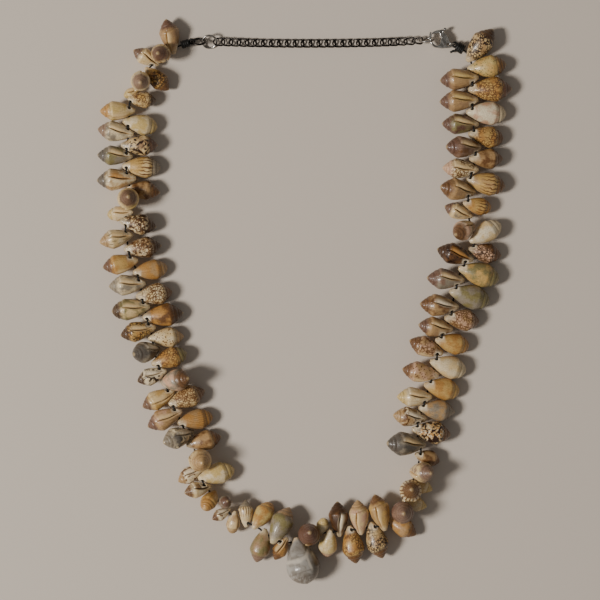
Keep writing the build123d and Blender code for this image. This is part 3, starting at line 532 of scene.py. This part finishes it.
class Paint:
    """Node material put together by short calls, each giving an output socket."""

    def __init__(self, name, **constants):
        self.material = bpy.data.materials.new(name)
        self.material.use_nodes = True
        self.tree = self.material.node_tree
        self.shader = self.tree.nodes["Principled BSDF"]
        for label, value in constants.items():
            self.shader.inputs[label.replace("_", " ")].default_value = value

    def node(self, kind, inputs, output=0, **settings):
        made = self.tree.nodes.new(kind)
        for name, value in settings.items():
            setattr(made, name, value)
        for key, value in inputs.items():
            self.set(made.inputs[key], value)
        return made.outputs[output]

    def set(self, socket, value):
        if isinstance(value, bpy.types.NodeSocket):
            self.tree.links.new(value, socket)
        else:
            socket.default_value = value

    def math(self, operation, *values):
        return self.node("ShaderNodeMath", dict(enumerate(values)), operation=operation)

    def vector(self, operation, *values, output=0):
        inputs = dict(enumerate(values))
        return self.node("ShaderNodeVectorMath", inputs, output, operation=operation)

    def step(self, value, low, high, most=1.0):
        inputs = {"Value": value, "From Min": low, "From Max": high, "To Max": most}
        return self.node("ShaderNodeMapRange", inputs, interpolation_type="SMOOTHSTEP")

    def mix(self, share, a, b, blend="MIX"):
        inputs = {0: share, 6: a, 7: b}
        return self.node("ShaderNodeMix", inputs, 2, data_type="RGBA", blend_type=blend)

    def noise(self, place, scale, detail=2.0, distortion=0.0, output=0):
        inputs = {"Vector": place, "Scale": scale, "Detail": detail, "Distortion": distortion}
        return self.node("ShaderNodeTexNoise", inputs, output)

    def cells(self, place, scale, feature="F1"):
        inputs = {"Vector": place, "Scale": scale}
        return self.node("ShaderNodeTexVoronoi", inputs, "Distance", feature=feature)

    def attribute(self, name):
        return self.node("ShaderNodeAttribute", {}, "Vector", attribute_name=name)

    def object_place(self):
        return self.node("ShaderNodeTexCoord", {}, "Object")

    def parts(self, vector):
        made = self.tree.nodes.new("ShaderNodeSeparateXYZ")
        self.tree.links.new(vector, made.inputs[0])
        return made.outputs

    def finish(self, colour, roughness, relief, distance, strength):
        """Links colour, roughness and a bump whose relief of 0 to 1 is distance metres deep."""
        inputs = {"Height": relief, "Distance": distance, "Strength": strength}
        self.set(self.shader.inputs["Base Color"], colour)
        self.set(self.shader.inputs["Roughness"], roughness)
        self.set(self.shader.inputs["Normal"], self.node("ShaderNodeBump", inputs))
        return self.material


# Materials of the shells
#
# Noises and cells have their scale in repeats to a millimetre. A step rises from its first
# number to its second one, up to its third one or to 1.

palette = {
    "cream": (226, 202, 158), "pale": (230, 216, 188), "white": (236, 227, 208),
    "butter": (214, 190, 130), "honey": (204, 170, 108), "orange": (188, 142, 82),
    "tan": (184, 152, 112), "fawn": (164, 134, 104), "brown": (112, 78, 48),
    "umber": (74, 51, 34), "chocolate": (48, 30, 23), "mauve": (138, 112, 100),
    "plum": (108, 80, 70), "grey": (146, 138, 128), "slate": (96, 92, 90),
    "olive": (136, 128, 90), "pink": (212, 176, 154), "chalk": (238, 230, 212),
    # The last two are painted shade: in the sutures, and deep in apertures and bores.
    "suture_shade_colour": (74, 48, 32), "throat_shade": (58, 38, 26),
}
pendant_palette = {
    # side is a darker brown painted as shade on the side away from the lamp.
    "light": (160, 154, 145), "dark": (126, 118, 107), "side": (84, 73, 60),
    "growth": (92, 76, 62), "wedge": (88, 80, 62), "band": (196, 186, 170),
    # The suture and throat colours are painted shade: in the sutures, and deep in the aperture
    # and bore.
    "suture_shade_colour": (84, 70, 58), "cap": (222, 196, 158), "throat_shade": (60, 48, 40),
}
grain_tones = ((0.72, 0.66, 0.54, 1), (1.0, 0.93, 0.78, 1))
warm_tones = ((0.86, 0.76, 0.62, 1), (1.0, 0.93, 0.82, 1))
worn_heights = (0.20, 0.03)         # from none to most, as shares of the length
tip_heights = (0.76, 0.86)
crown_heights = (0.955, 0.985)
ridge_count = 30.0
shell_relief = (0.00012, 0.6)       # depth in metres and strength

# What each shell looks like, from the left knot round to the right one: ground, shade,
# pattern and its colour, tip and mouth. The pendant's line only holds its place.
looks = """
fawn tan plain umber plum cream
fawn cream rays brown plum cream
cream pale plain tan plum cream
honey orange net umber brown pink
cream pale plain tan mauve cream
cream butter plain honey butter cream
honey cream net brown umber cream
butter cream rays honey orange cream
butter pale plain honey butter cream
pale grey plain fawn mauve cream
cream fawn blotch chocolate plum cream
olive grey plain slate slate cream
honey cream flames brown grey cream
pale tan plain brown slate orange
tan brown plain umber brown chalk
cream butter plain tan plum cream
pale cream plain tan butter cream
cream pale net+blotch brown+umber umber cream
cream pale rays umber tan cream
pale tan blotch+net umber+brown umber cream
orange honey plain brown plum cream
orange tan plain brown tan cream
pale grey plain fawn grey cream
cream pale net brown brown cream
cream olive plain brown umber cream
orange brown plain umber umber cream
honey orange net umber umber cream
cream pale speckle brown tan cream
slate grey plain umber slate chalk
orange honey net brown olive cream
white pale blotch chocolate umber white
pink grey plain brown brown tan
cream honey plain tan plum cream
tan cream net brown brown cream
pink tan plain brown plum cream
orange tan ridges brown orange white
pale slate blotch slate grey white
tan brown plain umber brown cream
cream tan plain tan tan cream
white pale blotch brown tan white
butter pale plain honey butter cream
cream pale plain tan brown brown
orange honey plain brown orange cream
mauve grey plain plum plum cream
white cream blotch brown brown white
tan cream plain fawn tan cream
cream pale flames brown grey cream
orange butter plain brown orange chalk
fawn olive plain umber mauve cream
olive grey plain fawn fawn cream
orange brown plain umber brown cream
grey slate plain umber cream slate
plum brown plain umber plum cream
butter pale plain honey butter cream
butter pale plain honey pink cream
umber brown plain chocolate umber white
orange honey net brown brown cream
pink cream plain tan tan cream
tan cream net chocolate brown cream
honey tan plain brown brown cream
orange tan plain brown brown cream
mauve plum plain plum mauve cream
cream pale plain tan butter cream
cream pale flames brown brown cream
cream pale plain tan butter cream
cream mauve plain brown mauve cream
tan brown plain umber brown brown
slate grey plain umber slate cream
white cream net+blotch orange+chocolate brown white
tan white blotch brown tan white
grey tan plain brown grey cream
cream pale plain tan butter cream
honey orange plain brown honey cream
pink tan speckle brown brown cream
pale cream plain tan pale cream
tan pink net brown brown cream
orange honey plain brown orange white
tan fawn plain brown plum cream
pink tan net brown brown cream
tan brown plain umber brown white
grey olive plain umber olive cream
mauve grey plain plum plum cream
honey olive plain brown olive cream
umber brown blotch chocolate umber orange
brown pink net umber brown cream
white cream plain tan pale white
pink grey plain brown brown cream
cream grey plain tan plum cream
orange honey flames brown orange white
tan fawn plain brown brown cream
honey tan flames brown brown cream
cream pale net brown pink cream
tan brown plain umber brown cream
brown mauve plain umber plum cream
honey orange net brown brown cream
olive plum plain umber plum cream
pink white plain tan pale cream
tan fawn plain brown plum butter
honey orange net brown plum cream
tan fawn plain brown plum butter
butter honey speckle olive brown cream
tan cream net+net umber+chocolate umber cream
"""
looks = [line.split() for line in looks.split("\n") if line]


def colour(name):
    return linear(*palette[name])


def shell_pattern(paint, kind, place, rays, angle, height):
    """Where a shell's markings are, from 0 to 1."""
    if kind == "net":
        swirl = paint.noise(place, 0.9, 1.0, output="Color")
        bent = paint.vector("MULTIPLY_ADD", swirl, (1.0, 1.0, 1.0), place)
        edge = paint.cells(bent, 0.9, "DISTANCE_TO_EDGE")
        patch = paint.step(paint.noise(place, 0.25), 0.28, 0.5)
        return paint.math("MULTIPLY", paint.step(edge, 0.19, 0.06), patch)
    if kind == "flames":
        waver = paint.math("MULTIPLY", paint.noise(place, 0.5), 7.0)
        wave = paint.math("SINE", paint.math("MULTIPLY_ADD", angle, 17.0, waver))
        fade = paint.step(height, 0.25, 0.55)
        return paint.math("MULTIPLY", paint.step(wave, 0.2, 0.8), fade)
    if kind == "blotch":
        return paint.step(paint.noise(place, 0.45, 3.0, 1.2), 0.46, 0.55)
    if kind == "speckle":
        size = paint.step(paint.noise(place, 0.4), 0.2, 0.8, 0.3)
        return paint.step(paint.math("SUBTRACT", paint.cells(place, 1.1), size), 0.22, 0.06)
    if kind == "ridges":
        ribs = paint.math("SINE", paint.math("MULTIPLY", angle, ridge_count))
        return paint.step(ribs, 0.0, 1.0, 0.35)
    if kind == "rays":
        return paint.step(paint.noise(rays, 1.5, 1.0), 0.57, 0.66, 0.8)
    return paint.step(paint.noise(rays, 1.0, 3.0), 0.52, 0.8, 0.5)


def shell_skin(index, length):
    """Material of one shell."""
    ground, shade, patterns, marks, tip, mouth = looks[index]
    name = f"shell_{index:03d}"
    paint = Paint(name, Coat_Weight=0.2, Coat_Roughness=0.1, Specular_IOR_Level=0.4)
    own = paint.attribute("skin")
    rim, lip, suture_shade = paint.parts(paint.attribute("marks"))
    seed = (index * 7.31 % 50, index * 3.17 % 40, index * 11.73 % 60)
    place = paint.vector("ADD", own, seed)
    x, y, z = paint.parts(own)
    height = paint.math("MULTIPLY", z, 1 / length)
    angle = paint.math("ARCTAN2", y, x)
    around = paint.vector("NORMALIZE", paint.vector("MULTIPLY", own, (1, 1, 0)))

    def streaks(round_scale, long_scale):
        """Place in a space where noise is drawn out along the shell."""
        turned = paint.vector("MULTIPLY_ADD", around, (round_scale, round_scale, 0), seed)
        return paint.vector("ADD", turned, paint.vector("MULTIPLY", own, (0, 0, long_scale)))

    rays = streaks(6, 0.22)
    cloud = paint.noise(place, 0.32, 3.0)
    body = paint.mix(paint.step(cloud, 0.4, 0.62), colour(ground), colour(shade))
    for kind, mark in zip(patterns.split("+"), marks.split("+")):
        mask = shell_pattern(paint, kind, place, rays, angle, height)
        body = paint.mix(mask, body, colour(mark))
    body = paint.mix(paint.step(height, *worn_heights, 0.6), body, colour("pale"))
    ragged = paint.math("MULTIPLY_ADD", paint.noise(place, 0.6, 2.0), 0.12, height)
    body = paint.mix(paint.step(ragged, *tip_heights, 0.92), body, colour(tip))
    body = paint.mix(paint.step(height, *crown_heights, 0.45), body, colour("cream"))
    grain = paint.step(paint.noise(place, 2.2, 4.0), 0.25, 0.75)
    warm = paint.mix(paint.noise(place, 0.5), *warm_tones)
    body = paint.mix(1.0, body, paint.mix(grain, *grain_tones), "MULTIPLY")
    # Painted shade in the sutures.
    body = paint.mix(paint.math("MULTIPLY", suture_shade, 0.5), body, colour("suture_shade_colour"))
    inside = paint.mix(1.0, colour(mouth), warm, "MULTIPLY")
    body = paint.mix(paint.step(lip, 0.05, 0.6, 0.85), body, inside)
    # Painted shade deep in the aperture and in the bores.
    body = paint.mix(paint.step(lip, 0.62, 0.92, 0.9), body, colour("throat_shade"))
    body = paint.mix(rim, body, paint.mix(1.0, colour("chalk"), warm, "MULTIPLY"))
    rough = paint.math("MULTIPLY_ADD", grain, 0.2, 0.24)
    rough = paint.math("MULTIPLY_ADD", rim, 0.35, rough)
    relief = paint.noise(streaks(22, 0.5), 1.0, 2.0)
    if "ridges" in patterns:
        ribs = paint.math("SINE", paint.math("MULTIPLY", angle, ridge_count))
        relief = paint.math("MULTIPLY_ADD", paint.step(ribs, -1.0, 1.0), 2.0, relief)
    return paint.finish(body, rough, relief, *shell_relief)


# The pendant's bands were charted on the photo, 600 pixels across and down.
photo_pixel = 0.3803                # millimetres
photo_middle = (-1.769, 0.863)      # millimetres, of the photo's pixel 300, 300 in the frame
pendant_waver = 0.0012              # metres between the places that noise moves a band to
pendant_wedge = ((304, 539), (306.5, 549), 1.6)     # two ends and a half width in millimetres
pendant_cap = ((291, 541), (296, 538), 1.5)
pendant_bands = (
    ((287, 563), (299, 560), 1.3), ((299, 560), (306, 555.5), 1.2),
    ((306, 555.5), (309.5, 545), 1.0), ((307, 557), (312, 568), 0.8),
)


def on_photo(x, y):
    """Place in metres of a spot charted on the photo."""
    right, up = photo_middle
    return Vector(((x - 300) * photo_pixel + right, (300 - y) * photo_pixel + up, 0)) * MM


def line_mask(paint, place, one, two, width):
    """1 on a charted line and 0 a width away from it."""
    one, two = on_photo(*one), on_photo(*two)
    course = two - one
    scaled = tuple(course / course.length_squared)
    off = paint.vector("SUBTRACT", place, tuple(one))
    along = paint.vector("DOT_PRODUCT", off, scaled, output="Value")
    along = paint.node("ShaderNodeClamp", {0: along})
    inputs = {0: tuple(course), "Scale": along}
    nearest = paint.node("ShaderNodeVectorMath", inputs, operation="SCALE")
    gap = paint.vector("LENGTH", paint.vector("SUBTRACT", off, nearest), output="Value")
    return paint.step(gap, width * MM, 0.15 * width * MM)


def pendant_skin():
    """Grey shell with pale bands that meet, fine growth lines, and a darker brown painted as
    shade on the side away from the lamp.
    """
    shades = {name: linear(*levels) for name, levels in pendant_palette.items()}
    paint = Paint("pendant", Coat_Weight=0.35, Coat_Roughness=0.15)
    own = paint.attribute("skin")
    rim, lip, suture_shade = paint.parts(paint.attribute("marks"))
    flat = paint.vector("MULTIPLY", paint.object_place(), (1, 1, 0))
    swirl = paint.noise(own, 0.35, 2.0, output="Color")
    bent = paint.vector("MULTIPLY_ADD", swirl, (pendant_waver, pendant_waver, 0.0), flat)
    bent = paint.vector("ADD", bent, (-pendant_waver / 2, -pendant_waver / 2, 0.0))
    cloud = paint.noise(own, 0.3, 4.0, 0.6)
    body = paint.mix(paint.step(cloud, 0.35, 0.65), shades["light"], shades["dark"])
    # The side away from the lamp is painted darker brown as its shade.
    side = paint.parts(paint.vector("SUBTRACT", bent, tuple(on_photo(311, 560))))[0]
    body = paint.mix(paint.step(side, -0.0010, 0.0022, 0.9), body, shades["side"])
    rays = paint.noise(paint.vector("MULTIPLY", bent, (1500, 420, 0)), 1.0, 2.0)
    low = paint.parts(paint.vector("SUBTRACT", bent, tuple(on_photo(303, 574))))[1]
    growth = paint.step(rays, 0.35, 0.65, 0.7)
    growth = paint.math("MULTIPLY", paint.step(low, 0.0015, -0.0015), growth)
    body = paint.mix(growth, body, shades["growth"])
    wedge = line_mask(paint, bent, *pendant_wedge)
    body = paint.mix(paint.math("MULTIPLY", wedge, 0.8), body, shades["wedge"])
    for charted in pendant_bands:
        band = line_mask(paint, bent, *charted)
        body = paint.mix(paint.math("MULTIPLY", band, 0.8), body, shades["band"])
    # Painted shade in the sutures.
    body = paint.mix(paint.math("MULTIPLY", suture_shade, 0.6), body, shades["suture_shade_colour"])
    body = paint.mix(line_mask(paint, bent, *pendant_cap), body, shades["cap"])
    # Painted shade deep in the aperture and in the bore.
    body = paint.mix(paint.step(lip, 0.62, 0.9), body, shades["throat_shade"])
    body = paint.mix(rim, body, colour("cream"))
    rough = paint.math("MULTIPLY_ADD", cloud, 0.2, 0.22)
    return paint.finish(body, rough, paint.noise(own, 1.6, 4.0), *shell_relief)


# Shells

# Shells whose broad end shows no pointed spire, by their place on the string
blunt_shells = {
    5, 8, 12, 16, 21, 24, 29, 35, 40, 42, 45, 47, 53, 72, 74, 76, 80, 82, 85, 88, 90, 94, 96, 100,
}


def draw_shell(node, places, faces):
    """Draws the shell of one solid and gives its place on the string."""
    is_pendant = node == "pendant_shell"
    form = pendant_form if is_pendant else dove_form
    end, tip, belly, half = shell_axes(places, faces)
    half *= widening / wall_radius(form, np.linspace(0, 1, wall_steps + 1)).max()
    length = np.linalg.norm(tip - end)
    axis = unit(tip - end)
    turned = np.stack([belly, np.cross(axis, belly), axis])
    index = run_through(end, axis, length)
    shell = Shell(blunt_form if index in blunt_shells else form, half, length)
    point, course = turned @ (run_starts[index] - end), turned @ run_ways[index]
    for spot, way in shell.bore_mouths(point, course):
        shell.draw_bore(spot, way)
    name = "pendant" if is_pendant else f"shell_{index:03d}"
    mesh = shell.mesh(name)
    to_frame = [[*(MM * turned[:, k]), MM * end[k]] for k in range(3)]
    mesh.transform(Matrix(to_frame + [[0, 0, 0, 1]]))
    material = pendant_skin() if is_pendant else shell_skin(index, length)
    add_piece(name, mesh, node, "necklace", material)
    return index


drawn = set()
for node in ("shells_left", "pendant_shell", "shells_right"):
    for places, faces, _ in loose_solids(node):
        index = draw_shell(node, places, faces)
        assert index not in drawn
        drawn.add(index)


# Cord and knots

cord_step = 0.42            # between the rings of vertices of the cord
cord_blend = (0.1, 0.2, 0.4, 0.2, 0.1)      # shares of five steps that round its corners
cord_share = 0.76           # drawn radius as a share of the solid's
cord_columns = 12
strand_count = 3
strand_pitch = 3.2
strand_depth = 0.13         # as a share of the drawn radius
strand_skin = 0.3           # radius of a strand in the material's space
wrap_pitch = 0.75           # along a knot, from one wrap to the next
wrap_skin = 1.6             # radius of a wrap in the material's space
wrap_start = (-0.2, 0.3)    # along the knot: where the wraps' relief comes in
wrap_limit = (2.3, 1.9)     # from its axis: where it fades out
wrap_relief = 0.09
knot_waver = 0.04           # unevenness of the whole knot


def cord_paint(name):
    """Black waxed cord with fine fibres along its strands."""
    paint = Paint(name, Specular_IOR_Level=0.25)
    place = paint.attribute("skin")
    fibres = paint.noise(paint.vector("MULTIPLY", place, (1.2, 9.0, 9.0)), 1.0, 4.0)
    wax = paint.noise(place, 0.8, 3.0)
    tone = paint.mix(paint.step(fibres, 0.3, 0.75), linear(8, 8, 8), linear(34, 32, 29))
    rough = paint.math("MULTIPLY_ADD", wax, 0.35, 0.3)
    return paint.finish(tone, rough, fibres, 0.00008, 0.8)


def cord_course():
    """Places along the whole cord, an even step apart and rounded where its runs meet."""
    corners = np.array([p for run in runs for p in run])
    far = np.concatenate([[0], np.cumsum(np.linalg.norm(np.diff(corners, axis=0), axis=1))])
    steps = np.arange(0, far[-1], cord_step)
    line = np.stack([np.interp(steps, far, corners[:, k]) for k in range(3)], 1)
    padded = np.vstack([line[:1], line[:1], line, line[-1:], line[-1:]])
    return sum(padded[k:k + len(line)] * w for k, w in enumerate(cord_blend))


def twisted_cord(name, course, radius):
    """Twisted cord along a course of places in millimetres."""
    ways = np.gradient(course, axis=0)
    ways /= np.linalg.norm(ways, axis=1, keepdims=True)
    along = np.concatenate([[0], np.cumsum(np.linalg.norm(np.diff(course, axis=0), axis=1))])
    side = unit(np.cross(ways[0], [0.3, 0.2, 1.0]))
    verts, skin = [], []
    for middle, way, far in zip(course, ways, along):
        side = unit(side - way * (side @ way))
        other = np.cross(way, side)
        for k in range(cord_columns):
            angle = 2 * np.pi * k / cord_columns
            phase = strand_count * (angle - 2 * np.pi * far / strand_pitch)
            reach = radius * (1 + strand_depth * math.cos(phase))
            verts.append(middle + reach * (math.cos(angle) * side + math.sin(angle) * other))
            skin.append((far, math.cos(phase) * strand_skin, math.sin(phase) * strand_skin))
    faces = []
    last = (len(course) - 1) * cord_columns
    for start in range(0, last, cord_columns):
        after = start + cord_columns
        for k in range(cord_columns):
            n = (k + 1) % cord_columns
            faces.append((start + k, start + n, after + n, after + k))
    faces.append(tuple(range(cord_columns))[::-1])
    faces.append(tuple(range(last, last + cord_columns)))
    return mesh_with(name, np.array(verts) * MM, faces, {"skin": skin})


def rounded(name, node, voxel, passes, thinner=0.0):
    """Copy of a CAD node's mesh on an even grid, with its hard edges worn round."""
    copy = put(name, nodes[node].data.copy())
    grid = copy.modifiers.new("grid", "REMESH")
    grid.mode = "VOXEL"
    grid.voxel_size = voxel * MM
    worn = copy.modifiers.new("worn", "SMOOTH")
    worn.factor = 0.5
    worn.iterations = passes
    bpy.context.view_layer.update()
    worn_copy = copy.evaluated_get(bpy.context.evaluated_depsgraph_get())
    mesh = bpy.data.meshes.new_from_object(worn_copy)
    bpy.data.objects.remove(copy)
    mesh.materials.clear()
    mesh.name = name
    for vertex, normal in zip(mesh.vertices, [v.normal.copy() for v in mesh.vertices]):
        vertex.co -= normal * thinner * MM
    mesh.polygons.foreach_set("use_smooth", [True] * len(mesh.polygons))
    return mesh


def knot_mesh(name, node, front, axis):
    """Knot with its wraps wound from twisted cord."""
    mesh = rounded(name, node, voxel=0.11, passes=6)
    places = np.empty(len(mesh.vertices) * 3, np.float32)
    mesh.vertices.foreach_get("co", places)
    places = places.reshape(-1, 3) / MM
    normals = np.array([v.normal[:] for v in mesh.vertices])
    side = unit(np.cross(axis, [0, 0, 1.0]))
    other = np.cross(axis, side)
    off = places - front
    far = off @ axis
    angle = np.arctan2(off @ other, off @ side)
    phase = 2 * np.pi * far / wrap_pitch - angle
    strands = [angle * wrap_skin, np.cos(phase) * strand_skin, np.sin(phase) * strand_skin]
    from_axis = np.linalg.norm(off - far[:, None] * axis, axis=1)
    inside = smooth(far, *wrap_start) * smooth(from_axis, *wrap_limit)
    uneven = np.sin(3.1 * off[:, 0] + 2.3 * off[:, 1] + 4.1 * off[:, 2])
    lift = wrap_relief * np.cos(phase) * inside + knot_waver * uneven
    places = places + normals * lift[:, None]
    mesh.vertices.foreach_set("co", (places * MM).astype(np.float32).ravel())
    add_vectors(mesh, "skin", np.stack(strands, 1) + off * 0.15)
    return mesh


name = "stringing_cord_twisted"
mesh = twisted_cord(name, cord_course(), cord_diameter / 2 * cord_share)
add_piece(name, mesh, "stringing_cord", "necklace", cord_paint("cord"))
for node, end, inner, length in (
    ("cord_knot_left", runs[0][0], runs[0][1], knot_length_left),
    ("cord_knot_right", runs[-1][1], runs[-1][0], knot_length_right),
):
    axis = unit(inner - end)
    mesh = knot_mesh(node + "_tied", node, end - axis * (length - knot_seat), axis)
    add_piece(node + "_tied", mesh, node, "necklace", cord_paint(node))


# Metal


def metal_paint(name, bright, dull, low, high):
    """Worn metal: tarnish in clouds, fine scratches and roughness from low to high.

    Its scales are in repeats to a metre.
    """
    paint = Paint(name, Metallic=1.0)
    place = paint.object_place()
    cloud = paint.noise(place, 620.0, 4.0, 0.5)
    scratched = paint.noise(paint.vector("MULTIPLY", place, (5200, 700, 2600)), 1.0, 3.0)
    tarnish = paint.mix(paint.step(cloud, 0.38, 0.66), linear(*bright), linear(*dull))
    uneven = {"Value": paint.math("ADD", cloud, scratched), "From Min": 0.6, "From Max": 1.4}
    rough = paint.node("ShaderNodeMapRange", {**uneven, "To Min": low, "To Max": high})
    return paint.finish(tarnish, rough, scratched, 0.000006, 0.5)


silver = metal_paint("silver", (196, 192, 186), (128, 122, 116), 0.16, 0.38)
cast = metal_paint("cast_silver", (222, 218, 210), (150, 145, 138), 0.12, 0.30)
blackened = metal_paint("blackened", (58, 54, 51), (26, 24, 23), 0.22, 0.45)
for node, body in (("clasp_body", "necklace"), ("clasp_lever", "lever")):
    mesh = rounded(node + "_cast", node, voxel=0.1, passes=3)
    add_piece(node + "_cast", mesh, node, body, cast)
chain = rounded("extension_chain_worn", "extension_chain", voxel=0.12, passes=2, thinner=0.09)
add_piece("extension_chain_worn", chain, "extension_chain", "necklace", blackened)
for node, material in (
    ("ring_knot_left", blackened), ("ring_chain_left", silver),
    ("ring_hook_right", silver), ("ring_clasp", silver), ("clasp_pin", cast),
):
    for slot in nodes[node].material_slots:
        slot.material = material


# Light, camera and floor, in metres

floor_reach = 3.0
camera_distance = 0.9       # from the middle of the shells' height
view_width = 0.2282         # that the picture shows at that distance
sensor_width = 36
camera_place = (-0.00177, 0.00046, 0.9045)
lamp_place = Vector((-1.36, -0.28, 1.5))

corners = [(-1, -1), (1, -1), (1, 1), (-1, 1)]
corners = [(x * floor_reach, y * floor_reach, 0) for x, y in corners]
floor_mesh = bpy.data.meshes.new("floor")
floor_mesh.from_pydata(corners, [], [(0, 1, 2, 3)])
floor = put("floor", floor_mesh)
floor_material = bpy.data.materials.new("floor")
floor_material.use_nodes = True
base = floor_material.node_tree.nodes["Principled BSDF"]
base.inputs["Base Color"].default_value = linear(200, 188, 174)
base.inputs["Roughness"].default_value = 0.6
floor_mesh.materials.append(floor_material)

world = bpy.data.worlds.new("studio")
world.use_nodes = True
background = world.node_tree.nodes["Background"]
background.inputs["Color"].default_value = (1.0, 0.97, 0.94, 1)
background.inputs["Strength"].default_value = 0.2
bpy.context.scene.world = world

key = bpy.data.lights.new("key", "AREA")
key.energy = 46             # watts
key.size = 0.4
key.color = (1.0, 0.97, 0.93)
lamp = put("key", key)
lamp.location = lamp_place
lamp.rotation_euler = (-lamp_place).to_track_quat("-Z", "Y").to_euler()

camera = bpy.data.cameras.new("camera")
camera.lens = sensor_width * camera_distance / view_width
camera.sensor_width = sensor_width
eye = put("camera", camera)
eye.location = camera_place
bpy.context.scene.camera = eye
